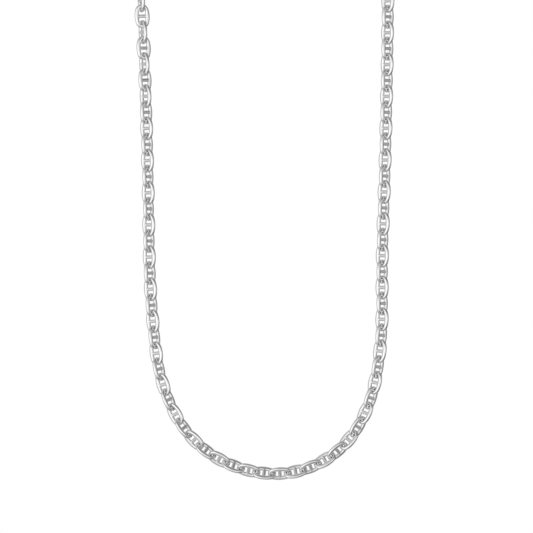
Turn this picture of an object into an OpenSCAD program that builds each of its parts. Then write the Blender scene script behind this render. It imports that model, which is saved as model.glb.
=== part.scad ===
// Mariner link chain, worn length, hanging in a U with its clasp at the nape

/* [Link] */
// Width of a link over its two sides
link_w = 5.55; // [5.4:0.05:5.6]
// Thickness of the round wire
wire_d = 1.38; // [1.3:0.02:1.4]
// How much larger the bend of the sides is than the bend of the ends
side_bow = 6.85; // [6.8:0.05:7]
// Thickness of the crossbar
bar_d = 1.3; // [1:0.05:1.3]
// Clearance between two links where they hook together
link_gap = 0.248; // [0.2:0.004:0.28]

/* [Chain] */
// Links from the left jump ring to the first link of the front, an even number
hidden_links = 22; // [22:2:24]

/* [Front] */
// Distance of the left strand's top from the middle
left_top = 45.1; // [44:0.1:46]
// Direction of the left strand at its top, in degrees from straight down
left_lean = 3; // [2:0.5:4]
// Distance from the left strand's top down to the middle of the first link
first_link = 5.94; // [5:0.02:7]
// Distance from the nape down to the strands' tops
nape_rise = 58; // [54:1:60]
// Distance from the nape forward to the hanging front
nape_depth = 76; // [70:1:78]
// How far the chain runs out sideways from the nape before it bends forward
nape_spread = 55; // [50:1:58]

/* [Clasp] */
// Thickness of a jump ring's wire
ring_wire = 1; // [0.9:0.05:1]
// Width of a jump ring over its wire
ring_w = 5.8; // [5.7:0.1:5.9]
// Thickness of the clasp's bent body
clasp_wire = 1.7; // [1.6:0.1:1.7]
// Width of the clasp over its body
clasp_w = 6.3; // [6.1:0.1:6.5]
// Thickness of the small eye at the clasp's tail
eye_wire = 1.2; // [1:0.05:1.3]
// Width of the small eye over its wire
eye_w = 4; // [3.8:0.1:4.2]

/* [Hidden] */
$fn = 20;

// Runs of the front from the left strand's top round to the right's: length, turn in degrees
FRONT_RUNS = [
    [89.4, -2.4],
    [39.6, 6.2],
    [24.1, 21],
    [28.4, 41.2],
    [12.6, 15.2],
    [40.7, 66.5],
    [17.4, 18.4],
    [27.3, 11.5],
    [30.9, -2.6],
    [81.8, 1.6],
];
RUN = 0;
TURN = 1;

// Lean of the links about the chain's own line: link of the front, lean of even links, lean of odd links
LEANS = [
    [-20, -90, 0],
    [-2, -14, 70],
    [0, -11, 68],
    [2, -25, 57],
    [4, -36, 48],
    [7, -47, 34],
    [12, -54, 33],
    [16, -47, 32],
    [24, -50, 32],
    [28, -45, 31],
    [31, -40, 33],
    [34, -37, 35],
    [38, -34, 38],
    [41, -34, 43],
    [47, -35, 46],
    [54, -36, 46],
    [65, -38, 41],
    [85, 0, 90],
];
EVEN = 1;
ODD = 2;

// How far links sit on from an even spacing: link of the front, shift along the line
SHIFTS = [
    [3, 0],
    [27, 1.2],
    [40, 0.65],
    [67, 0.45],
    [88, 0],
];

// An oval's end and side arcs meet on a line whose slope is 24 to 7, with a length of 25
JOINT_X = 0.28;
JOINT_Y = 0.96;
WEDGE = 25; // reach of the wedges that cut the arcs, beyond every ring

// Links of the front, from one strand's top to the other's
front_links = 65;
link_count = front_links + 2 * hidden_links + 1;
middle_link = link_count / 2;
half_w = (link_w - wire_d) / 2;
half_l = oval_half_length(half_w, side_bow);
pitch = 2 * half_l - wire_d - link_gap;
ring_r = (ring_w - ring_wire) / 2;
ring_pitch = 2 * ring_r - ring_wire - link_gap;
claw_half_w = (clasp_w - clasp_wire) / 2;
claw_half_l = oval_half_length(claw_half_w, side_bow);
eye_r = (eye_w - eye_wire) / 2;
neck_l = 0.8; // bare stretch between the clasp and its eye
eye_x = claw_half_l + clasp_wire / 2 + neck_l + eye_w / 2;
// Reach of the clasp from its hook's inner edge to its eye's inner edge
clasp_reach = claw_half_l - clasp_wire / 2 + eye_x + eye_r - eye_wire / 2 - link_gap;
clasp_shift = (eye_x + eye_r - eye_wire / 2 - claw_half_l + clasp_wire / 2) / 2;

// Steps along each run of the front, and along each hidden side
front_step = 2;
side_steps = 48;
solve_steps = 18;

// Limits of how far a strand goes on straight up before it bends back
least_rise = 20;
most_rise = 95;

function oval_half_length(half_width, bow) = half_width - (1 - JOINT_Y) * bow + JOINT_X * bow;
function unit(v) = v / norm(v);
function total(values, i = 0) = i == len(values) ? 0 : values[i] + total(values, i + 1);
function length_of(points) = total([for (i = [1:len(points) - 1]) norm(points[i] - points[i - 1])]);

// The front, as points in the plane that it hangs in
steps = [
    for (row = FRONT_RUNS)
        let (count = ceil(row[RUN] / front_step))
            for (i = [1:count]) [row[RUN] / count, row[TURN] / count]
];
front_points = [
    for (
        i = 0, p = [-left_top, -nape_depth, -nape_rise], a = left_lean - 90;
        i <= len(steps);
        p = i < len(steps)
            ? p + steps[i][RUN] * [cos(a + steps[i][TURN] / 2), 0, sin(a + steps[i][TURN] / 2)]
            : p,
        a = i < len(steps) ? a + steps[i][TURN] : a,
        i = i + 1
    ) p
];
left_end = front_points[0];
right_end = front_points[len(front_points) - 1];
left_up = [-sin(left_lean), 0, cos(left_lean)];
right_up = unit(right_end - front_points[len(front_points) - 2]);
front_l = length_of(front_points);

// The hidden sides, each one smooth curve from the nape forward and down to a strand's top
function blend(a, b, c, d, t) =
    (1 - t) ^ 3 * a + 3 * (1 - t) ^ 2 * t * b + 3 * (1 - t) * t ^ 2 * c + t ^ 3 * d;
function side_points(side, top, up, rise) =
    let (start = [side * clasp_reach / 2, 0, 0])
        [
            for (i = [0:side_steps])
                blend(start, start + [side * nape_spread, 0, 0], top + rise * up, top, i / side_steps)
        ];
function rise_for(side, top, up, want, low, high, tries) =
    let (middle = (low + high) / 2)
        tries == 0
            ? middle
            : length_of(side_points(side, top, up, middle)) > want
            ? rise_for(side, top, up, want, low, middle, tries - 1)
            : rise_for(side, top, up, want, middle, high, tries - 1);
left_l = ring_pitch + (hidden_links + 0.5) * pitch - first_link;
right_l = 2 * ring_pitch + link_count * pitch - left_l - front_l;
left_rise = rise_for(-1, left_end, left_up, left_l, least_rise, most_rise, solve_steps);
right_rise = rise_for(1, right_end, right_up, right_l, least_rise, most_rise, solve_steps);
left_side = side_points(-1, left_end, left_up, left_rise);
right_side = side_points(1, right_end, right_up, right_rise);

// The whole line of the chain from one end of the clasp round to the other
line = [
    for (i = [0:side_steps - 1]) left_side[i],
    for (p = front_points) p,
    for (i = [1:side_steps]) right_side[side_steps - i],
];
reach = [
    for (i = 0, s = 0; i < len(line); i = i + 1, s = i < len(line) ? s + norm(line[i] - line[i - 1]) : s) s
];
along_x = [for (i = [0:len(line) - 1]) [reach[i], line[i][0]]];
along_y = [for (i = [0:len(line) - 1]) [reach[i], line[i][1]]];
along_z = [for (i = [0:len(line) - 1]) [reach[i], line[i][2]]];
function place(s) = [lookup(s, along_x), lookup(s, along_y), lookup(s, along_z)];

full_l = reach[len(reach) - 1];

// The way that the chain's face looks: forward on the front, and up over the last part to the nape
face_turn = 0.6;
function face(s) =
    let (hidden = max(left_l - s, s - left_l - front_l, 0))
        let (turn = 90 * min(1, hidden / (face_turn * left_l)))
            [0, -cos(turn), sin(turn)];

// Draws a piece between two places on the line, with its length along it and its width leaned from flat
module on_line(from, to, lean) {
    ends = [place(from), place(to)];
    forward = unit(ends[1] - ends[0]);
    inward = unit(cross(face((from + to) / 2), forward));
    facing = cross(forward, inward);
    across = cos(lean) * inward + sin(lean) * facing;
    normal = cross(forward, across);
    middle = (ends[0] + ends[1]) / 2;
    multmatrix([for (i = [0:2]) [forward[i], across[i], normal[i], middle[i]]]) children();
}

module wire_ring(r, d) {
    rotate_extrude() translate([r, 0]) circle(d = d);
}

// One bend of an oval, kept where a ring lies inside a wedge
module bend(r, d, place, turn, wedge) {
    rotate([0, 0, turn]) translate(place) intersection() {
        wire_ring(r, d);
        linear_extrude(height = 2 * d, center = true) polygon(wedge);
    }
}

// Bends 0 and 1 are an oval's sides, and 2 and 3 its ends
module oval_bend(half_width, bow, d, part) {
    end_r = half_width - (1 - JOINT_Y) * bow;
    side_r = end_r + bow;
    if (part < 2)
        bend(side_r, d, [0, half_width - side_r, 0], part * 180,
            [[0, 0], [WEDGE * JOINT_X, WEDGE * JOINT_Y], [-WEDGE * JOINT_X, WEDGE * JOINT_Y]]);
    else
        bend(end_r, d, [JOINT_X * bow, 0, 0], part * 180,
            [[0, 0], [WEDGE * JOINT_X, -WEDGE * JOINT_Y], [WEDGE, 0], [WEDGE * JOINT_X, WEDGE * JOINT_Y]]);
}

module link() {
    for (part = [0:4])
        if (part < 4) oval_bend(half_w, side_bow, wire_d, part);
        else rotate([90, 0, 0]) cylinder(h = 2 * half_w, d = bar_d, center = true);
}

function lean_of(i) =
    let (column = i % 2 == 0 ? EVEN : ODD)
        lookup(i - hidden_links, [for (row = LEANS) [row[0], row[column]]]);

function start_of(i) = ring_pitch + i * pitch + lookup(i - hidden_links, SHIFTS);

module links(first, last) {
    for (i = [first:last])
        on_line(start_of(i), start_of(i + 1), lean_of(i)) link();
}

module chain_left() {
    color("silver") links(0, middle_link - 1);
}

module chain_right() {
    color("silver") links(middle_link, link_count - 1);
}

module jump_ring_left() {
    color("silver") on_line(0, ring_pitch, 0) wire_ring(ring_r, ring_wire);
}

module jump_ring_right() {
    color("silver") on_line(full_l - ring_pitch, full_l, 0) wire_ring(ring_r, ring_wire);
}

module clasp() {
    color("silver") translate([clasp_shift, 0, 0]) rotate([90, 0, 0])
        for (part = [0:5])
            if (part < 4) oval_bend(claw_half_w, side_bow, clasp_wire, part);
            else if (part == 4)
                translate([-claw_half_l - clasp_wire / 2 - neck_l, 0, 0]) rotate([0, 90, 0])
                    translate([0, 0, -eye_wire / 2]) cylinder(h = neck_l + clasp_wire, d = eye_wire);
            else translate([-eye_x, 0, 0]) wire_ring(eye_r, eye_wire);
}

chain_left();
chain_right();
clasp();
jump_ring_left();
jump_ring_right();
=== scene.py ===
"""Looks of the mariner link chain, hanging in a U with its clasp at the nape.

Every size is in millimetres in the classes' fields and is turned into metres where a mesh is made.
The frame is the part's own: +Z up, the front hangs at -Y, the origin is the nape.
"""

import logging
import math
from collections.abc import Sequence
from dataclasses import dataclass, field
from enum import Enum

import bpy
import numpy as np
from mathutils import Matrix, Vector


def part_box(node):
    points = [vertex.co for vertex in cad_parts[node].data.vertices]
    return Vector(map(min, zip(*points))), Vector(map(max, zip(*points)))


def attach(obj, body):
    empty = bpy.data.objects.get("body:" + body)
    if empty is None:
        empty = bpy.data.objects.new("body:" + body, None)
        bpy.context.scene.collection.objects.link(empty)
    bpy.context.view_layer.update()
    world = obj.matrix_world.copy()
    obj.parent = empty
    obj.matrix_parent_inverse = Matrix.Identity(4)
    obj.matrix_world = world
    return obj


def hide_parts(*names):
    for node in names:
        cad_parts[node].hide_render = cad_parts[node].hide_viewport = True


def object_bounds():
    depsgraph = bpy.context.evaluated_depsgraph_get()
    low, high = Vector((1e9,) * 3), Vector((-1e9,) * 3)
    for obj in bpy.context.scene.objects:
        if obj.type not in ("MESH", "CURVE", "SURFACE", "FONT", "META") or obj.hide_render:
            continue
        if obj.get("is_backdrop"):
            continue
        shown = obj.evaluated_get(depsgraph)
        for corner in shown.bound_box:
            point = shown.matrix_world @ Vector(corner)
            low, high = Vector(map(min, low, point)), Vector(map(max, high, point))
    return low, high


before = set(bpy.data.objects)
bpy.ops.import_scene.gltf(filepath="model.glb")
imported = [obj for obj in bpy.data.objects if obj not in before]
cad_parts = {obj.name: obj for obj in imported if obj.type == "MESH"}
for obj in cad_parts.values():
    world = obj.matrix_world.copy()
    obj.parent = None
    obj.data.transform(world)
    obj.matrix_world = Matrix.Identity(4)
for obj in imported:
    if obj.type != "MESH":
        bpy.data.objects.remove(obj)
CAD_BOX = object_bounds()

MM = 0.001
BODY = "root"

LOG = logging.getLogger("chain")

Points = np.ndarray
Settings = dict[str, object]


class Slot(Enum):
    """The record's material slots."""

    CHAIN = "chain_silver"
    CLASP = "clasp_silver"


class Mark(Enum):
    """Names of the values that a piece's mesh keeps for its finish and its painted shade."""

    # painted shade, darkest in corners and where the links hook together
    CREVICE = "crevice"
    RUN = "wire_run"
    TONE = "link_tone"
    FORWARD = "forward"
    ACROSS = "across"


def unit(vector: Points) -> Points:
    """Returns a vector, or rows of vectors, at length one."""
    return vector / np.linalg.norm(vector, axis=-1, keepdims=True)


class Signal:
    """An output socket that takes part in sums: each operator adds one Math node to its tree."""

    def __init__(self, tree: "Tree", socket: bpy.types.NodeSocket) -> None:
        """Wraps a socket.

        Args:
            tree: The tree that the socket's node stands in.
            socket: The output socket.
        """
        self.tree = tree
        self.socket = socket

    def __add__(self, other: "Signal | float") -> "Signal":
        """Returns the sum."""
        return self.tree.maths("ADD", self, other)

    def __radd__(self, other: float) -> "Signal":
        """Returns the sum, with a number on the left."""
        return self.tree.maths("ADD", other, self)

    def __sub__(self, other: "Signal | float") -> "Signal":
        """Returns the difference."""
        return self.tree.maths("SUBTRACT", self, other)

    def __rsub__(self, other: float) -> "Signal":
        """Returns the difference, with a number on the left."""
        return self.tree.maths("SUBTRACT", other, self)

    def __mul__(self, other: "Signal | float") -> "Signal":
        """Returns the product."""
        return self.tree.maths("MULTIPLY", self, other)

    def __rmul__(self, other: float) -> "Signal":
        """Returns the product, with a number on the left."""
        return self.tree.maths("MULTIPLY", other, self)


class Tree:
    """A node tree that is filled by short calls."""

    def __init__(self, tree: bpy.types.NodeTree) -> None:
        """Empties a tree and takes it over.

        Args:
            tree: A shader or Geometry Nodes tree.
        """
        self.tree = tree
        tree.nodes.clear()

    def node(
        self,
        kind: str,
        settings: Settings | None = None,
        sockets: dict[str | int, object] | None = None,
    ) -> bpy.types.Node:
        """Adds a node of any type.

        Args:
            kind: The node's type name.
            settings: The node's own properties, which are set first.
            sockets: Values or signals for its input sockets, by name or number.

        Returns:
            The node.
        """
        made = self.tree.nodes.new(kind)
        for name, value in (settings or {}).items():
            setattr(made, name, value)
        for key, value in (sockets or {}).items():
            self.feed(made.inputs[key], value)
        return made

    def feed(self, socket: bpy.types.NodeSocket, value: object) -> None:
        """Links a signal or sets a plain value.

        Args:
            socket: The input socket.
            value: A signal, or a number, a tuple, a material or an object.
        """
        if isinstance(value, Signal):
            self.tree.links.new(value.socket, socket)
        else:
            socket.default_value = value

    def out(self, made: bpy.types.Node, key: str | int = 0) -> Signal:
        """Returns a node's output as a signal."""
        return Signal(self, made.outputs[key])

    def maths(self, operation: str, *values: "Signal | float", clamp: bool = False) -> Signal:
        """Adds a Math node.

        Args:
            operation: The Math node's operation.
            values: Its operands.
            clamp: Whether the result is kept from 0 to 1.

        Returns:
            The result.
        """
        made = self.node(
            "ShaderNodeMath",
            {"operation": operation, "use_clamp": clamp},
            dict(enumerate(values)),
        )
        return self.out(made)

    def ramp(self, value: Signal, low: float, high: float, start: float, end: float) -> Signal:
        """Eases a value smoothly from one number to another.

        Args:
            value: What the ramp reads.
            low: Where the ramp starts.
            high: Where it ends.
            start: The result at and below low.
            end: The result at and above high.

        Returns:
            The eased value.
        """
        made = self.node(
            "ShaderNodeMapRange",
            {"interpolation_type": "SMOOTHSTEP"},
            {"Value": value, 1: low, 2: high, 3: start, 4: end},
        )
        return self.out(made)

    def dot(self, vector: Signal, direction: Sequence[float]) -> Signal:
        """Returns how far a vector goes along a direction."""
        made = self.node(
            "ShaderNodeVectorMath",
            {"operation": "DOT_PRODUCT"},
            {0: vector, 1: tuple(direction)},
        )
        return self.out(made, "Value")

    def noise(self, place: Signal, scale: float, detail: float) -> Signal:
        """Reads a soft noise from 0 to 1.

        Args:
            place: Where it is read.
            scale: How fine it is.
            detail: How many finer layers it has.

        Returns:
            The noise.
        """
        sockets = {"Vector": place, "Scale": scale, "Detail": detail}
        return self.out(self.node("ShaderNodeTexNoise", None, sockets))

    def blend(self, factor: Signal, first: object, second: object) -> Signal:
        """Mixes two colours.

        Args:
            factor: How much of the second colour shows.
            first: A colour or a signal.
            second: A colour or a signal.

        Returns:
            The mixed colour.
        """
        made = self.node(
            "ShaderNodeMix",
            {"data_type": "RGBA"},
            {"Factor": factor, 6: first, 7: second},
        )
        return self.out(made, 2)


@dataclass(frozen=True)
class Oval:
    """An oval of four arcs, in the XY plane with its length along X."""

    half_width: float
    bow: float
    joint_x: float = 0.28
    joint_y: float = 0.96

    @property
    def end_radius(self) -> float:
        """Radius of the two end arcs."""
        return self.half_width - (1 - self.joint_y) * self.bow

    @property
    def half_length(self) -> float:
        """Half of the oval's length."""
        return self.end_radius + self.joint_x * self.bow

    def points(self, on_end: int, on_side: int) -> Points:
        """Samples the oval once round, from the middle of its end at +X.

        Args:
            on_end: Steps on each end arc.
            on_side: Steps on each side arc.

        Returns:
            Points as rows of x, y and 0.
        """
        half_side = math.asin(self.joint_x)
        half_end = math.pi / 2 - half_side
        side_radius = self.end_radius + self.bow
        rows = []
        for turn in (0.0, math.pi):
            flip = math.cos(turn)
            end = np.linspace(-half_end, half_end, on_end, endpoint=False)
            side = np.linspace(-half_side, half_side, on_side, endpoint=False) + math.pi / 2
            rows.append(
                flip * np.stack([
                    self.joint_x * self.bow + self.end_radius * np.cos(end),
                    self.end_radius * np.sin(end),
                ], axis=1)
            )
            rows.append(
                flip * np.stack([
                    side_radius * np.cos(side),
                    self.half_width - side_radius + side_radius * np.sin(side),
                ], axis=1)
            )
        flat = np.concatenate(rows)
        flat = np.roll(flat, -(on_end // 2), axis=0)
        return np.concatenate([flat, np.zeros((len(flat), 1))], axis=1)


@dataclass(frozen=True)
class HangingLine:
    """The chain's own line: the hidden sides from the clasp, and the front that hangs in a U.

    The rows of front_runs are a run's length and its turn in degrees. Those of leans are a link of
    the front, the lean of even links there and that of odd ones, in degrees. Those of shifts are a
    link of the front and how far it sits on from an even spacing.
    """

    left_top: float = 45.1
    left_lean: float = 3.0
    first_link: float = 5.94
    nape_rise: float = 58.0
    nape_depth: float = 76.0
    nape_spread: float = 55.0
    clasp_reach: float = 11.24
    ring_pitch: float = 3.552
    pitch: float = 5.83
    link_count: int = 110
    hidden_links: int = 22
    front_step: float = 2.0
    side_steps: int = 48
    solve_steps: int = 18
    least_rise: float = 20.0
    most_rise: float = 95.0
    face_turn: float = 0.6
    front_runs: tuple[tuple[float, float], ...] = (
        (89.4, -2.4), (39.6, 6.2), (24.1, 21.0), (28.4, 41.2), (12.6, 15.2),
        (40.7, 66.5), (17.4, 18.4), (27.3, 11.5), (30.9, -2.6), (81.8, 1.6),
    )
    leans: tuple[tuple[float, float, float], ...] = (
        (-20, -90, 0), (-2, -14, 70), (0, -11, 68), (2, -25, 57), (4, -36, 48), (7, -47, 34),
        (12, -54, 33), (16, -47, 32), (24, -50, 32), (28, -45, 31), (31, -40, 33),
        (34, -37, 35), (38, -34, 38), (41, -34, 43), (47, -35, 46), (54, -36, 46),
        (65, -38, 41), (85, 0, 90),
    )
    shifts: tuple[tuple[float, float], ...] = (
        (3, 0), (27, 1.2), (40, 0.65), (67, 0.45), (88, 0),
    )

    def start_of(self, number: int) -> float:
        """Returns where a link starts along the line, with its shift from an even spacing."""
        rows = np.array(self.shifts)
        shift = float(np.interp(number - self.hidden_links, rows[:, 0], rows[:, 1]))
        return self.ring_pitch + number * self.pitch + shift

    def front(self) -> tuple[Points, Points, Points]:
        """Walks the front from the left strand's top round to the right's.

        Returns:
            Its points, and the upward directions at its left and right ends.
        """
        place = np.array([-self.left_top, -self.nape_depth, -self.nape_rise])
        heading = self.left_lean - 90
        rows = [place]
        for run, turn in self.front_runs:
            count = math.ceil(run / self.front_step)
            for _ in range(count):
                angle = math.radians(heading + turn / count / 2)
                place = place + run / count * np.array([math.cos(angle), 0, math.sin(angle)])
                heading += turn / count
                rows.append(place)
        lean = math.radians(self.left_lean)
        left_up = np.array([-math.sin(lean), 0, math.cos(lean)])
        return np.array(rows), left_up, unit(rows[-1] - rows[-2])

    def side(self, sign: int, top: Points, up: Points, rise: float) -> Points:
        """Draws one hidden side as a smooth curve from the nape to a strand's top.

        Args:
            sign: -1 for the left side, 1 for the right.
            top: The strand's top.
            up: The strand's upward direction there.
            rise: How far it goes on upwards before it bends back.

        Returns:
            The side's points.
        """
        start = np.array([sign * self.clasp_reach / 2, 0, 0])
        reach = start + np.array([sign * self.nape_spread, 0, 0])
        t = np.linspace(0, 1, self.side_steps + 1)[:, None]
        return (
            (1 - t) ** 3 * start
            + 3 * (1 - t) ** 2 * t * reach
            + 3 * (1 - t) * t**2 * (top + rise * up)
            + t**3 * top
        )

    def side_of_length(self, sign: int, top: Points, up: Points, want: float) -> Points:
        """Finds the hidden side that has the length that is left for it.

        Args:
            sign: -1 for the left side, 1 for the right.
            top: The strand's top.
            up: The strand's upward direction there.
            want: The length to reach.

        Returns:
            The side's points.
        """
        low, high = self.least_rise, self.most_rise
        for _ in range(self.solve_steps):
            middle = (low + high) / 2
            if self.length(self.side(sign, top, up, middle)) > want:
                high = middle
            else:
                low = middle
        return self.side(sign, top, up, (low + high) / 2)

    @staticmethod
    def length(points: Points) -> float:
        """Returns the length of a run of points."""
        return float(np.linalg.norm(np.diff(points, axis=0), axis=1).sum())

    def trace(self) -> "TracedLine":
        """Works out the whole line from one end of the clasp round to the other.

        Returns:
            The line, ready to be measured along.
        """
        front, left_up, right_up = self.front()
        left = self.ring_pitch + (self.hidden_links + 0.5) * self.pitch - self.first_link
        front_length = self.length(front)
        right = 2 * self.ring_pitch + self.link_count * self.pitch - left - front_length
        left_side = self.side_of_length(-1, front[0], left_up, left)
        right_side = self.side_of_length(1, front[-1], right_up, right)
        points = np.concatenate([left_side[:-1], front, right_side[::-1][1:]])
        return TracedLine(points, left, front_length, self.face_turn)

    def lean_of(self, number: int) -> float:
        """Returns how far a link leans from flat about the chain's line, in degrees."""
        rows = np.array(self.leans)
        column = 1 + number % 2
        return float(np.interp(number - self.hidden_links, rows[:, 0], rows[:, column]))


@dataclass(frozen=True)
class TracedLine:
    """The chain's line as points, with places and directions found by the length along it."""

    points: Points
    left: float
    front: float
    face_turn: float

    @property
    def reach(self) -> Points:
        """Length along the line at each of its points."""
        steps = np.linalg.norm(np.diff(self.points, axis=0), axis=1)
        return np.concatenate([[0.0], np.cumsum(steps)])

    @property
    def full(self) -> float:
        """Length of the whole line."""
        return float(self.reach[-1])

    def place(self, along: float) -> Points:
        """Returns the point at a length along the line."""
        return np.array([np.interp(along, self.reach, self.points[:, k]) for k in range(3)])

    def face(self, along: float) -> Points:
        """Returns the way that the chain's face looks: forward on the front, up at the nape."""
        hidden = max(self.left - along, along - self.left - self.front, 0.0)
        turn = math.radians(90 * min(1.0, hidden / (self.face_turn * self.left)))
        return np.array([0, -math.cos(turn), math.sin(turn)])

    def pose(self, start: float, end: float, lean: float) -> Points:
        """Places a piece between two lengths along the line.

        Args:
            start: Where the piece starts.
            end: Where it ends.
            lean: How far its width leans from flat, in degrees.

        Returns:
            Rows of its length, width and normal directions, and its middle.
        """
        first, last = self.place(start), self.place(end)
        forward = unit(last - first)
        inward = unit(np.cross(self.face((start + end) / 2), forward))
        facing = np.cross(forward, inward)
        angle = math.radians(lean)
        across = math.cos(angle) * inward + math.sin(angle) * facing
        return np.array([forward, across, np.cross(forward, across), (first + last) / 2])


@dataclass
class Skin:
    """Closed tubes of a metal piece, kept as points, faces, painted shade and finish values."""

    points: list[Points] = field(default_factory=list)
    faces: list[tuple[int, ...]] = field(default_factory=list)
    crevice: list[Points] = field(default_factory=list)
    run: list[Points] = field(default_factory=list)
    count: int = 0

    def add_tube(self, grid: Points, crevice: Points, run: Points, closed: bool) -> None:
        """Adds a tube whose rows are rings of points.

        Args:
            grid: Points by row and place round the tube.
            crevice: How much painted shade each point gets, for how deep in a corner it lies, from 0 to
                1.
            run: Length along the wire, place round it and part number, for each point.
            closed: Whether the last row joins the first; open tubes get a cap at each end.
        """
        rows, around = grid.shape[:2]
        index = self.count + np.arange(rows * around).reshape(rows, around)
        for row in range(rows if closed else rows - 1):
            here, after = index[row], index[(row + 1) % rows]
            for k in range(around):
                step = (k + 1) % around
                self.faces.append((here[k], here[step], after[step], after[k]))
        if not closed:
            self.faces.append(tuple(index[0][::-1]))
            self.faces.append(tuple(index[-1]))
        self.points.append(grid.reshape(-1, 3))
        self.crevice.append(crevice.reshape(-1))
        self.run.append(run.reshape(-1, 3))
        self.count += rows * around

    def mesh(self, name: str) -> bpy.types.Mesh:
        """Makes a mesh in metres, with smooth faces, the painted shade and the finish values.

        Args:
            name: The mesh's name.

        Returns:
            The mesh.
        """
        made = bpy.data.meshes.new(name)
        points = np.concatenate(self.points) * MM
        faces = [tuple(int(v) for v in face) for face in self.faces]
        made.from_pydata(points.tolist(), [], faces)
        made.shade_smooth()
        crevice = made.attributes.new(Mark.CREVICE.value, "FLOAT", "POINT")
        crevice.data.foreach_set("value", np.concatenate(self.crevice).astype(np.float32))
        run = made.attributes.new(Mark.RUN.value, "FLOAT_VECTOR", "POINT")
        run.data.foreach_set("vector", np.concatenate(self.run).astype(np.float32).ravel())
        made.validate()
        made.update()
        return made


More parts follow.
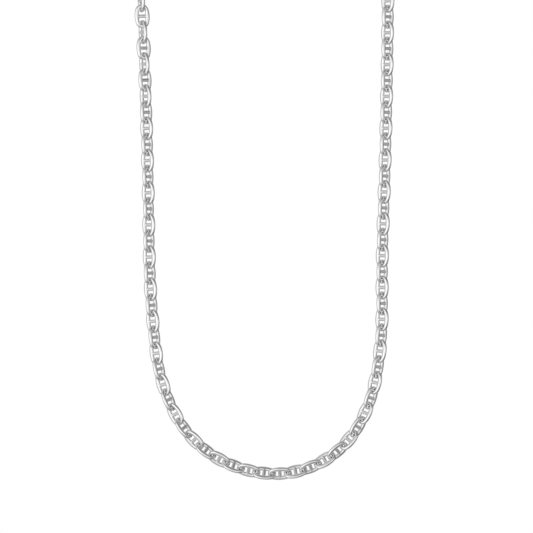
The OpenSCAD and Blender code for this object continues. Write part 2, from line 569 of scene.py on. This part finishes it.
@dataclass(frozen=True)
class Link:
    """One mariner link: an oval of round wire with a crossbar soldered between its sides.

    The sides keep their extra thickness over thick_half from the middle, and lose it fade_end
    before the ends. Painted shade inside the ends, where the neighbours hook in, starts hook_start from
    the middle and grows over hook_fade.
    """

    width: float = 5.55
    wire: float = 1.38
    bow: float = 6.85
    bar: float = 1.24
    bar_deep: float = 0.92
    side_wire: float = 1.56
    thick_half: float = 0.9
    fade_end: float = 0.4
    hook_start: float = 2.6
    hook_fade: float = 0.9
    solder: float = 0.16
    sunk: float = 0.012
    most_flare: float = 0.3
    on_end: int = 18
    on_side: int = 12
    around: int = 16
    fine_end: int = 60
    fine_side: int = 80
    coarse_steps: int = 24
    fine_steps: int = 14
    bar_rows: tuple[float, ...] = (
        0, 0.5, 0.8, 0.95, 1.04, 1.1, 1.15, 1.2, 1.25, 1.31, 1.38, 1.46, 1.56,
    )

    @property
    def oval(self) -> Oval:
        """The oval that the middle of the wire follows."""
        return Oval((self.width - self.wire) / 2, self.bow)

    def swell(self, x: Points) -> Points:
        """Returns how much of the sides' extra thickness the wire has at a length from the middle."""
        fade = self.oval.half_length - self.fade_end - self.thick_half
        share = np.clip((np.abs(x) - self.thick_half) / fade, 0, 1)
        return 1 - share * share * (3 - 2 * share)

    def wire_line(self, on_end: int, on_side: int) -> tuple[Points, Points, Points]:
        """Samples the wire's middle, pushed inwards where the sides are thicker.

        Args:
            on_end: Steps on each end arc.
            on_side: Steps on each side arc.

        Returns:
            Its points, its outward directions and its half thickness in the link's plane.
        """
        points = self.oval.points(on_end, on_side)
        ahead = unit(np.roll(points, -1, axis=0) - np.roll(points, 1, axis=0))
        outward = np.stack([ahead[:, 1], -ahead[:, 0], ahead[:, 2]], axis=1)
        extra = (self.side_wire - self.wire) / 2 * self.swell(points[:, 0])
        half = self.wire / 2 + extra
        return points - outward * extra[:, None], outward, half

    def outside_wire(self, places: Points) -> Points:
        """Measures how far places lie outside the oval's wire, negative inside it."""
        line, outward, half = self.wire_line(self.fine_end, self.fine_side)
        gap = places[:, None, :2] - line[None, :, :2]
        nearest = np.argmin((gap**2).sum(axis=2), axis=1)
        from_line = places - line[nearest]
        sideways = (from_line * outward[nearest]).sum(axis=1)
        stretched = np.hypot(sideways / half[nearest], from_line[:, 2] / (self.wire / 2))
        return (stretched - 1) * self.wire / 2

    def outside_bar(self, places: Points) -> Points:
        """Measures how far places lie outside the bar, with its ends flared where they are soldered."""
        bar = np.hypot(places[:, 0] / self.bar, places[:, 2] / self.bar_deep) * 2 - 1
        bar = bar * self.bar_deep / 2
        ring = self.outside_wire(places) + self.sunk
        share = np.clip(0.5 + 0.5 * (bar - ring) / self.solder, 0, 1)
        return bar + (ring - bar) * share - self.solder * share * (1 - share)

    def bar_reach(self, roots: Points, ways: Points, most: Points) -> Points:
        """Moves out from the bar's middle until its surface is met.

        Args:
            roots: Points on the bar's middle line.
            ways: The direction to go from each.
            most: The furthest that each may go.

        Returns:
            How far each has to go.
        """
        low, high = np.zeros(len(roots)), most.copy()
        for step in range(1, self.coarse_steps + 1):
            at = most * step / self.coarse_steps
            outside = self.outside_bar(roots + ways * at[:, None]) > 0
            high = np.where(outside & (high == most), at, high)
            low = np.where(~outside & (high == most), at, low)
        for _ in range(self.fine_steps):
            middle = (low + high) / 2
            inside = self.outside_bar(roots + ways * middle[:, None]) < 0
            low, high = np.where(inside, middle, low), np.where(inside, high, middle)
        return (low + high) / 2

    def add_wire(self, skin: Skin) -> None:
        """Adds the oval's wire, with painted shade inside its ends where the neighbours hook in."""
        line, outward, half = self.wire_line(self.on_end, self.on_side)
        angle = np.linspace(0, 2 * math.pi, self.around, endpoint=False)
        up = np.array([0.0, 0.0, 1.0])
        flat = half[:, None, None] * np.cos(angle)[None, :, None] * outward[:, None, :]
        grid = line[:, None, :] + flat - self.wire / 2 * np.sin(angle)[None, :, None] * up
        # painted shade on the wire's inner side near its ends, where the neighbours hook in
        inner = np.clip(-np.cos(angle), 0, 1)[None, :] ** 2
        near_end = (np.abs(line[:, 0]) - self.hook_start) / self.hook_fade
        near_end = np.clip(near_end, 0, 1)[:, None]
        along = np.concatenate([[0], np.cumsum(np.linalg.norm(np.diff(line, axis=0), axis=1))])
        run = np.stack([
            np.broadcast_to(along[:, None], grid.shape[:2]),
            np.broadcast_to(angle[None, :], grid.shape[:2]),
            np.zeros(grid.shape[:2]),
        ], axis=2)
        skin.add_tube(grid, inner * near_end, run, closed=True)

    def add_bar(self, skin: Skin) -> None:
        """Adds the crossbar, whose flared ends sink into the wire and carry painted shade where they
        meet it.
        """
        angle = np.linspace(0, 2 * math.pi, self.around, endpoint=False)
        rows = np.array(self.bar_rows)
        rows = np.concatenate([-rows[:0:-1], rows])
        roots = np.zeros((len(rows), self.around, 3))
        roots[..., 1] = rows[:, None]
        ways = np.zeros_like(roots)
        ways[..., 0] = np.cos(angle)[None, :]
        ways[..., 2] = -np.sin(angle)[None, :]
        own = 0.5 / np.hypot(np.cos(angle) / self.bar, np.sin(angle) / self.bar_deep)
        most = np.broadcast_to(own + self.most_flare, roots.shape[:2])
        reach = self.bar_reach(roots.reshape(-1, 3), ways.reshape(-1, 3), most.reshape(-1))
        reach = reach.reshape(roots.shape[:2])
        run = np.stack([
            np.broadcast_to(rows[:, None], reach.shape),
            np.broadcast_to(angle[None, :], reach.shape),
            np.ones(reach.shape),
        ], axis=2)
        # painted shade where the bar's flared ends meet the wire
        corner = np.clip((reach - own) / (0.5 * self.most_flare), 0, 1)
        skin.add_tube(roots + ways * reach[..., None], corner, run, closed=False)

    def mesh(self) -> bpy.types.Mesh:
        """Builds the link once, with its length along X and its width along Y.

        Returns:
            The link's mesh, in metres.
        """
        skin = Skin()
        self.add_wire(skin)
        self.add_bar(skin)
        return skin.mesh("link")


class LinkRun:
    """A run of links along the line, placed by one Geometry Nodes tree."""

    def __init__(self, link: bpy.types.Object, finish: bpy.types.Material) -> None:
        """Keeps the link that is repeated and builds the tree.

        Args:
            link: The object that holds one link's mesh.
            finish: The chain's material.
        """
        self.link = link
        self.finish = finish
        self.tree, self.inputs = self.build_tree()

    def build_tree(self) -> tuple[bpy.types.NodeTree, dict[str, str]]:
        """Builds the tree that sets one link on each point.

        Returns:
            The tree, and the identifier of each named input.
        """
        group = bpy.data.node_groups.new("links along the line", "GeometryNodeTree")
        face = group.interface
        face.new_socket("Geometry", in_out="OUTPUT", socket_type="NodeSocketGeometry")
        kinds = {
            "Places": "NodeSocketGeometry",
            "Link": "NodeSocketObject",
            "Size": "NodeSocketFloat",
            "Tone spread": "NodeSocketFloat",
            "Seed": "NodeSocketInt",
            "Finish": "NodeSocketMaterial",
        }
        sockets = {
            name: face.new_socket(name, in_out="INPUT", socket_type=kind)
            for name, kind in kinds.items()
        }
        tree = Tree(group)
        given = tree.node("NodeGroupInput")
        link = tree.node(
            "GeometryNodeObjectInfo",
            {"transform_space": "ORIGINAL"},
            {"Object": tree.out(given, "Link")},
        )
        ways = [
            tree.node(
                "GeometryNodeInputNamedAttribute",
                {"data_type": "FLOAT_VECTOR"},
                {"Name": mark.value},
            )
            for mark in (Mark.FORWARD, Mark.ACROSS)
        ]
        turn = tree.node(
            "FunctionNodeAxesToRotation",
            {"primary_axis": "X", "secondary_axis": "Y"},
            {0: tree.out(ways[0]), 1: tree.out(ways[1])},
        )
        placed = tree.node(
            "GeometryNodeInstanceOnPoints",
            None,
            {
                "Points": tree.out(given, "Places"),
                "Instance": tree.out(link, "Geometry"),
                "Rotation": tree.out(turn),
                "Scale": tree.out(given, "Size"),
            },
        )
        tone = tree.node(
            "FunctionNodeRandomValue",
            {"data_type": "FLOAT"},
            {2: -1.0, 3: 1.0, "Seed": tree.out(given, "Seed")},
        )
        spread = tree.out(tone, 1) * tree.out(given, "Tone spread")
        toned = tree.node(
            "GeometryNodeStoreNamedAttribute",
            {"data_type": "FLOAT", "domain": "INSTANCE"},
            {"Geometry": tree.out(placed), "Name": Mark.TONE.value, "Value": spread},
        )
        real = tree.node("GeometryNodeRealizeInstances", None, {0: tree.out(toned)})
        dressed = tree.node(
            "GeometryNodeSetMaterial",
            None,
            {"Geometry": tree.out(real), "Material": tree.out(given, "Finish")},
        )
        tree.node("NodeGroupOutput", None, {0: tree.out(dressed)})
        return group, {name: socket.identifier for name, socket in sockets.items()}

    def build(self, name: str, poses: Sequence[Points], seed: int) -> bpy.types.Object:
        """Sets a link on each pose and turns the result into one plain mesh.

        Args:
            name: The piece's name.
            poses: Directions and middle of each link.
            seed: What the links' small differences in tone start from.

        Returns:
            The piece.
        """
        places = bpy.data.meshes.new(name)
        table = np.array(poses)
        places.from_pydata((table[:, 3] * MM).tolist(), [], [])
        for row, mark in enumerate((Mark.FORWARD, Mark.ACROSS)):
            kept = places.attributes.new(mark.value, "FLOAT_VECTOR", "POINT")
            kept.data.foreach_set("vector", table[:, row].astype(np.float32).ravel())
        piece = bpy.data.objects.new(name, places)
        bpy.context.scene.collection.objects.link(piece)
        repeat = piece.modifiers.new("links", "NODES")
        repeat.node_group = self.tree
        values = {"Link": self.link, "Size": 1.0, "Tone spread": 1.0, "Seed": seed,
                  "Finish": self.finish}
        for key, value in values.items():
            repeat[self.inputs[key]] = value
        return settle_mesh(piece)


def settle_mesh(piece: bpy.types.Object) -> bpy.types.Object:
    """Turns an object's modifiers into its plain mesh and removes them.

    Args:
        piece: The object.

    Returns:
        The same object.
    """
    graph = bpy.context.evaluated_depsgraph_get()
    plain = bpy.data.meshes.new_from_object(piece.evaluated_get(graph), depsgraph=graph)
    piece.modifiers.clear()
    piece.data = plain
    return piece


@dataclass(frozen=True)
class JumpRing:
    """A plain ring of round wire."""

    width: float = 5.8
    wire: float = 1.0
    on_ring: int = 72
    around: int = 20

    def mesh(self, name: str, pose: Points) -> bpy.types.Mesh:
        """Builds the ring in its place.

        Args:
            name: The mesh's name.
            pose: Its length, width and normal directions, and its middle.

        Returns:
            The ring's mesh.
        """
        turn = np.linspace(0, 2 * math.pi, self.on_ring, endpoint=False)
        angle = np.linspace(0, 2 * math.pi, self.around, endpoint=False)
        radius = (self.width - self.wire) / 2
        out = np.stack([np.cos(turn), np.sin(turn), np.zeros(self.on_ring)], axis=1)
        reach = radius + self.wire / 2 * np.cos(angle)[None, :, None]
        up = np.array([0.0, 0.0, 1.0])
        local = reach * out[:, None, :] - self.wire / 2 * np.sin(angle)[None, :, None] * up
        grid = local @ pose[:3] + pose[3]
        run = np.stack([
            np.broadcast_to(turn[:, None] * radius, grid.shape[:2]),
            np.broadcast_to(angle[None, :], grid.shape[:2]),
            np.zeros(grid.shape[:2]),
        ], axis=2)
        skin = Skin()
        skin.add_tube(grid, np.zeros(grid.shape[:2]), run, closed=True)
        return skin.mesh(name)


@dataclass(frozen=True)
class HookClasp:
    """The clasp: one closed hook of thick wire, with a flared neck and a small eye at its tail.

    The neck's shares are of the hook's wire, of its own length and of the eye's wire.
    """

    width: float = 6.3
    wire: float = 1.7
    bow: float = 6.85
    slimmer: float = 0.06
    neck: float = 0.8
    neck_waist: float = 1.04
    neck_sunk: float = 0.1
    root_share: float = 0.46
    root_start: float = 0.45
    eye_share: float = 0.48
    eye_end: float = 0.3
    eye_width: float = 4.0
    eye_wire: float = 1.2
    shift: float = 2.65
    on_end: int = 24
    on_side: int = 16
    around: int = 24
    on_neck: int = 12

    @property
    def oval(self) -> Oval:
        """The oval that the middle of the hook's wire follows."""
        return Oval((self.width - self.wire) / 2, self.bow)

    @property
    def eye_place(self) -> float:
        """Where the eye's middle lies along the clasp, from the hook's middle."""
        return -self.oval.half_length - self.wire / 2 - self.neck - self.eye_width / 2

    def add_ring(self, skin: Skin, line: Points, half: Points, part: int) -> None:
        """Adds a closed ring of round wire that lies in the clasp's upright plane.

        Args:
            skin: The mesh that is being filled.
            line: The middle of the wire, with its length along X and its width along Z.
            half: Half of the wire's thickness at each point.
            part: The number that tells this ring's drawn lines from others.
        """
        ahead = unit(np.roll(line, -1, axis=0) - np.roll(line, 1, axis=0))
        outward = np.stack([ahead[:, 2], ahead[:, 1], -ahead[:, 0]], axis=1)
        angle = np.linspace(0, 2 * math.pi, self.around, endpoint=False)
        side = np.array([0.0, 1.0, 0.0])
        ways = np.cos(angle)[None, :, None] * outward[:, None, :]
        ways = ways + np.sin(angle)[None, :, None] * side
        grid = line[:, None, :] + half[:, None, None] * ways
        along = np.concatenate([[0], np.cumsum(np.linalg.norm(np.diff(line, axis=0), axis=1))])
        run = np.stack([
            np.broadcast_to(along[:, None], grid.shape[:2]),
            np.broadcast_to(angle[None, :], grid.shape[:2]),
            np.full(grid.shape[:2], float(part)),
        ], axis=2)
        skin.add_tube(grid, np.zeros(grid.shape[:2]), run, closed=True)

    def add_neck(self, skin: Skin) -> None:
        """Adds the neck, flared into the hook and the eye."""
        start = self.eye_place + (self.eye_width - self.eye_wire) / 2
        end = -self.oval.half_length + self.neck_sunk * self.wire
        t = np.linspace(0, 1, self.on_neck + 1)
        waist, root = self.neck_waist / 2, self.root_share * self.wire
        flare = np.clip((t - self.root_start) / (1 - self.root_start), 0, 1)
        half = waist + (root - waist) * flare * flare * (3 - 2 * flare)
        tail = np.clip(1 - t / self.eye_end, 0, 1) ** 2
        half = half + (self.eye_share * self.eye_wire - waist) * tail
        x = self.shift + start + (end - start) * t
        angle = np.linspace(0, 2 * math.pi, self.around, endpoint=False)
        shape = (len(t), self.around)
        grid = np.stack([
            np.broadcast_to(x[:, None], shape),
            half[:, None] * np.cos(angle)[None, :],
            half[:, None] * np.sin(angle)[None, :],
        ], axis=2)
        run = np.stack([
            np.broadcast_to(x[:, None], shape),
            np.broadcast_to(angle[None, :], shape),
            np.full(shape, 2.0),
        ], axis=2)
        skin.add_tube(grid, np.zeros(shape), run, closed=False)

    def mesh(self, name: str) -> bpy.types.Mesh:
        """Builds the clasp in its place, its length along X and upright.

        Args:
            name: The mesh's name.

        Returns:
            The clasp's mesh.
        """
        skin = Skin()
        flat = self.oval.points(self.on_end, self.on_side)
        hook = np.stack([flat[:, 0] + self.shift, np.zeros(len(flat)), flat[:, 1]], axis=1)
        thinned = self.slimmer * (1 + flat[:, 0] / self.oval.half_length) / 2
        self.add_ring(skin, hook, self.wire / 2 * (1 - thinned), 0)
        turn = np.linspace(0, 2 * math.pi, 2 * self.on_end, endpoint=False)
        radius = (self.eye_width - self.eye_wire) / 2
        eye = np.stack([
            self.shift + self.eye_place + radius * np.cos(turn),
            np.zeros(len(turn)),
            radius * np.sin(turn),
        ], axis=1)
        self.add_ring(skin, eye, np.full(len(turn), self.eye_wire / 2), 1)
        self.add_neck(skin)
        return skin.mesh(name)


@dataclass(frozen=True)
class PolishedSilver:
    """Polished silver with fine drawn lines, faint dents and painted shade in its corners."""

    name: str = "polished silver"
    colour: tuple[float, float, float] = (0.94, 0.94, 0.94)
    # the grey of the painted shade in corners
    shade_colour: tuple[float, float, float] = (0.4, 0.4, 0.4)
    roughness: float = 0.045
    tone_change: float = 0.012
    cloud_scale: float = 900.0
    dent_scale: float = 1700.0
    line_scale: float = 2.2
    line_stretch: tuple[float, float, float] = (0.9, 9.0, 1.0)
    # how deep the painted shade goes: at least this much, plus a share of the cloud noise
    least_shade: float = 0.25
    cloud_shade: float = 0.3
    cloud_rough: float = 0.03
    line_rough: float = 0.03
    corner_rough: float = 0.05
    line_depth: float = 0.0008
    dent_depth: float = 0.003

    def material(self) -> bpy.types.Material:
        """Builds the material.

        Returns:
            The material.
        """
        made = bpy.data.materials.new(self.name)
        made.use_nodes = True
        tree = Tree(made.node_tree)
        place = tree.out(tree.node("ShaderNodeTexCoord"), "Object")
        run = tree.out(
            tree.node("ShaderNodeAttribute", {"attribute_name": Mark.RUN.value}), "Vector"
        )
        crevice = tree.out(
            tree.node("ShaderNodeAttribute", {"attribute_name": Mark.CREVICE.value}), "Fac"
        )
        tone = tree.out(
            tree.node("ShaderNodeAttribute", {"attribute_name": Mark.TONE.value}), "Fac"
        )
        cloud = tree.noise(place, self.cloud_scale, 3.0)
        dents = tree.noise(place, self.dent_scale, 2.0)
        stretched = tree.node("ShaderNodeMapping", None, {"Vector": run, "Scale": self.line_stretch})
        lines = tree.noise(tree.out(stretched), self.line_scale, 4.0)
        # painted shade: the base colour darkens to a grey in the marked corners, by a cloudy amount
        shade_depth = self.least_shade + self.cloud_shade * cloud
        shade_share = tree.maths("MULTIPLY", crevice, shade_depth, clamp=True)
        shade = tree.blend(shade_share, (*self.colour, 1), (*self.shade_colour, 1))
        rough = (
            self.roughness
            + self.tone_change * tone
            + self.cloud_rough * (cloud - 0.5)
            + self.line_rough * (lines - 0.5)
            + self.corner_rough * crevice
        )
        relief = self.line_depth * lines + self.dent_depth * dents
        bump = tree.node(
            "ShaderNodeBump", None, {"Strength": 1.0, "Distance": MM, "Height": relief}
        )
        metal = tree.node(
            "ShaderNodeBsdfPrincipled",
            None,
            {
                "Base Color": shade,
                "Metallic": 1.0,
                "Roughness": rough,
                "Normal": tree.out(bump, "Normal"),
            },
        )
        tree.node("ShaderNodeOutputMaterial", None, {"Surface": tree.out(metal)})
        return made


@dataclass(frozen=True)
class Softbox:
    """A bright or dark patch of the studio with a soft edge, seen only in the metal."""

    azimuth: float
    rise: float
    inner: float
    soft: float
    light: float

    @property
    def direction(self) -> tuple[float, float, float]:
        """The way to the patch's middle: azimuth 0 is behind the chain, and 90 to the right."""
        turn, lift = math.radians(self.azimuth), math.radians(self.rise)
        return (
            math.sin(turn) * math.cos(lift), math.cos(turn) * math.cos(lift), math.sin(lift)
        )


@dataclass(frozen=True)
class Studio:
    """The plain white studio: the camera, the floor, and soft light from all round.

    A pixel of the picture is as wide as the value pixel, in millimetres of the chain's front. The
    picture's top edge lies at top_rise, and the middle between the strands in middle_column.
    """

    pixel: float = 0.36552
    image_side: int = 533
    top_rise: float = -58.0
    middle_column: float = 264.7
    front_plane: float = -76.0
    distance: float = 1200.0
    sensor: float = 36.0
    floor_rise: float = -450.0
    floor_radius: float = 1500.0
    floor_rim: int = 96
    floor_grain: float = 40.0
    floor_tones: tuple[float, float] = (0.86, 0.9)
    floor_glow: float = 0.5
    base_light: float = 0.36
    patches: tuple[Softbox, ...] = (
        Softbox(-143, -6, 14, 29, 0.68),
        Softbox(149, -10, 1, 56, 0.8),
        Softbox(36, -6, 14, 18, -0.9),
        Softbox(-26, -29, 15, 7, -0.22),
        Softbox(-75, 27, 32, 120, 0.18),
        Softbox(133, 47, 38, 10, -0.23),
        Softbox(139, -28, 8, 34, -0.66),
        Softbox(-18, 28, 20, 16, -0.18),
    )

    def camera(self) -> bpy.types.Object:
        """Sets the camera level in front of the chain, at the photograph's framing.

        Returns:
            The camera.
        """
        middle = self.image_side / 2
        x = (middle - self.middle_column) * self.pixel
        z = self.top_rise - middle * self.pixel
        lens = bpy.data.cameras.new("front camera")
        lens.sensor_width = self.sensor
        lens.lens = self.sensor * self.distance / (self.image_side * self.pixel)
        lens.clip_start, lens.clip_end = 0.05, 20.0
        made = bpy.data.objects.new("front camera", lens)
        made.location = Vector((x, self.front_plane - self.distance, z)) * MM
        made.rotation_euler = (math.pi / 2, 0, 0)
        bpy.context.scene.collection.objects.link(made)
        bpy.context.scene.camera = made
        return made

    def floor(self) -> bpy.types.Object:
        """Lays the plain pale floor below the chain.

        Returns:
            The floor.
        """
        turn = np.linspace(0, 2 * math.pi, self.floor_rim, endpoint=False)
        rim = np.stack([
            self.floor_radius * np.cos(turn),
            self.floor_radius * np.sin(turn),
            np.full(len(turn), self.floor_rise),
        ], axis=1)
        made = bpy.data.meshes.new("floor")
        made.from_pydata((rim * MM).tolist(), [], [tuple(range(len(turn)))])
        floor = bpy.data.objects.new("floor", made)
        bpy.context.scene.collection.objects.link(floor)
        pale = bpy.data.materials.new("pale floor")
        pale.use_nodes = True
        tree = Tree(pale.node_tree)
        place = tree.out(tree.node("ShaderNodeTexCoord"), "Object")
        grain = tree.noise(place, self.floor_grain, 2.0)
        low, high = ((tone, tone, tone, 1) for tone in self.floor_tones)
        colour = tree.blend(grain, low, high)
        paint = tree.node(
            "ShaderNodeBsdfPrincipled",
            None,
            {
                "Base Color": colour,
                "Roughness": 0.8,
                "Emission Color": (1, 1, 1, 1),
                "Emission Strength": self.floor_glow,
            },
        )
        tree.node("ShaderNodeOutputMaterial", None, {"Surface": tree.out(paint)})
        made.materials.append(pale)
        floor.visible_glossy = False
        floor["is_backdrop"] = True
        return floor

    def surroundings(self) -> None:
        """Lights the studio from all round, plain white to the camera."""
        world = bpy.data.worlds.new("studio")
        bpy.context.scene.world = world
        world.use_nodes = True
        tree = Tree(world.node_tree)
        way = tree.out(tree.node("ShaderNodeTexCoord"), "Generated")
        light: Signal | float = self.base_light
        for patch in self.patches:
            away = tree.maths("ARCCOSINE", tree.dot(way, patch.direction))
            inner = math.radians(patch.inner)
            outer = inner + math.radians(patch.soft)
            light = tree.ramp(away, inner, outer, patch.light, 0.0) + light
        seen = tree.out(tree.node("ShaderNodeLightPath"), "Is Camera Ray")
        strength = seen + (1 - seen) * tree.maths("MAXIMUM", light, 0.0)
        glow = tree.node(
            "ShaderNodeBackground", None, {"Color": (1, 1, 1, 1), "Strength": strength}
        )
        tree.node("ShaderNodeOutputWorld", None, {"Surface": tree.out(glow)})

    def build(self) -> None:
        """Sets up the camera, the floor, the light and the picture's plain tone curve."""
        self.camera()
        self.floor()
        self.surroundings()
        bpy.context.scene.view_settings.view_transform = "Standard"


@dataclass
class Necklace:
    """The whole necklace: two runs of links, two jump rings and the clasp.

    Each run of links starts its small differences in tone from a seed of its own.
    """

    line: HangingLine = field(default_factory=HangingLine)
    link: Link = field(default_factory=Link)
    ring: JumpRing = field(default_factory=JumpRing)
    clasp: HookClasp = field(default_factory=HookClasp)
    left_seed: int = 3
    right_seed: int = 8

    def stand_for(self, piece: bpy.types.Object, node: str, slot: Slot) -> None:
        """Makes a piece ride on the part and stand for its node.

        Args:
            piece: The piece.
            node: The node that it replaces.
            slot: The material slot that it would take its finish from; not used.
        """
        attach(piece, BODY)
        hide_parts(node)
        low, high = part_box(node)
        points = np.array([v.co for v in piece.data.vertices])
        off = max(np.abs(points.min(0) - low).max(), np.abs(points.max(0) - high).max()) / MM
        faces = sum(len(p.vertices) - 2 for p in piece.data.polygons)
        LOG.info("%s: %d triangles, its box is within %.2f mm of its node's", node, faces, off)

    def build(self) -> None:
        """Builds every piece and dresses it."""
        traced = self.line.trace()
        silver = PolishedSilver().material()
        bright = PolishedSilver("clasp silver", roughness=0.06).material()

        holder = bpy.data.objects.new("one link", self.link.mesh())
        run = LinkRun(holder, silver)
        first = self.line.ring_pitch
        poses = [
            traced.pose(
                self.line.start_of(number),
                self.line.start_of(number + 1),
                self.line.lean_of(number),
            )
            for number in range(self.line.link_count)
        ]
        half = self.line.link_count // 2
        left = run.build("left_links", poses[:half], self.left_seed)
        right = run.build("right_links", poses[half:], self.right_seed)
        self.stand_for(left, "chain_left", Slot.CHAIN)
        self.stand_for(right, "chain_right", Slot.CHAIN)
        bpy.data.objects.remove(holder)

        ends = {
            "jump_ring_left": (0.0, first),
            "jump_ring_right": (traced.full - first, traced.full),
        }
        meshes = {
            node: self.ring.mesh(node + "_wire", traced.pose(start, end, 0))
            for node, (start, end) in ends.items()
        }
        meshes["clasp"] = self.clasp.mesh("clasp_hook")
        for node, mesh in meshes.items():
            mesh.materials.append(bright)
            piece = bpy.data.objects.new(mesh.name, mesh)
            bpy.context.scene.collection.objects.link(piece)
            self.stand_for(piece, node, Slot.CLASP)


def write_sizes() -> None:
    """Gathers the part's box and the dressed part's box as plain numbers, but keeps and writes neither.
    """
    boxes = {"cad": CAD_BOX, "visual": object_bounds()}
    {name: [list(low), list(high)] for name, (low, high) in boxes.items()}


def main() -> None:
    """Builds the studio and the necklace."""
    logging.basicConfig(level=logging.INFO, format="%(name)s: %(message)s")
    LOG.info("the frame holds %d nodes", len(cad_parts))
    Studio().build()
    Necklace().build()
    write_sizes()


if __name__ == "__main__":
    main()
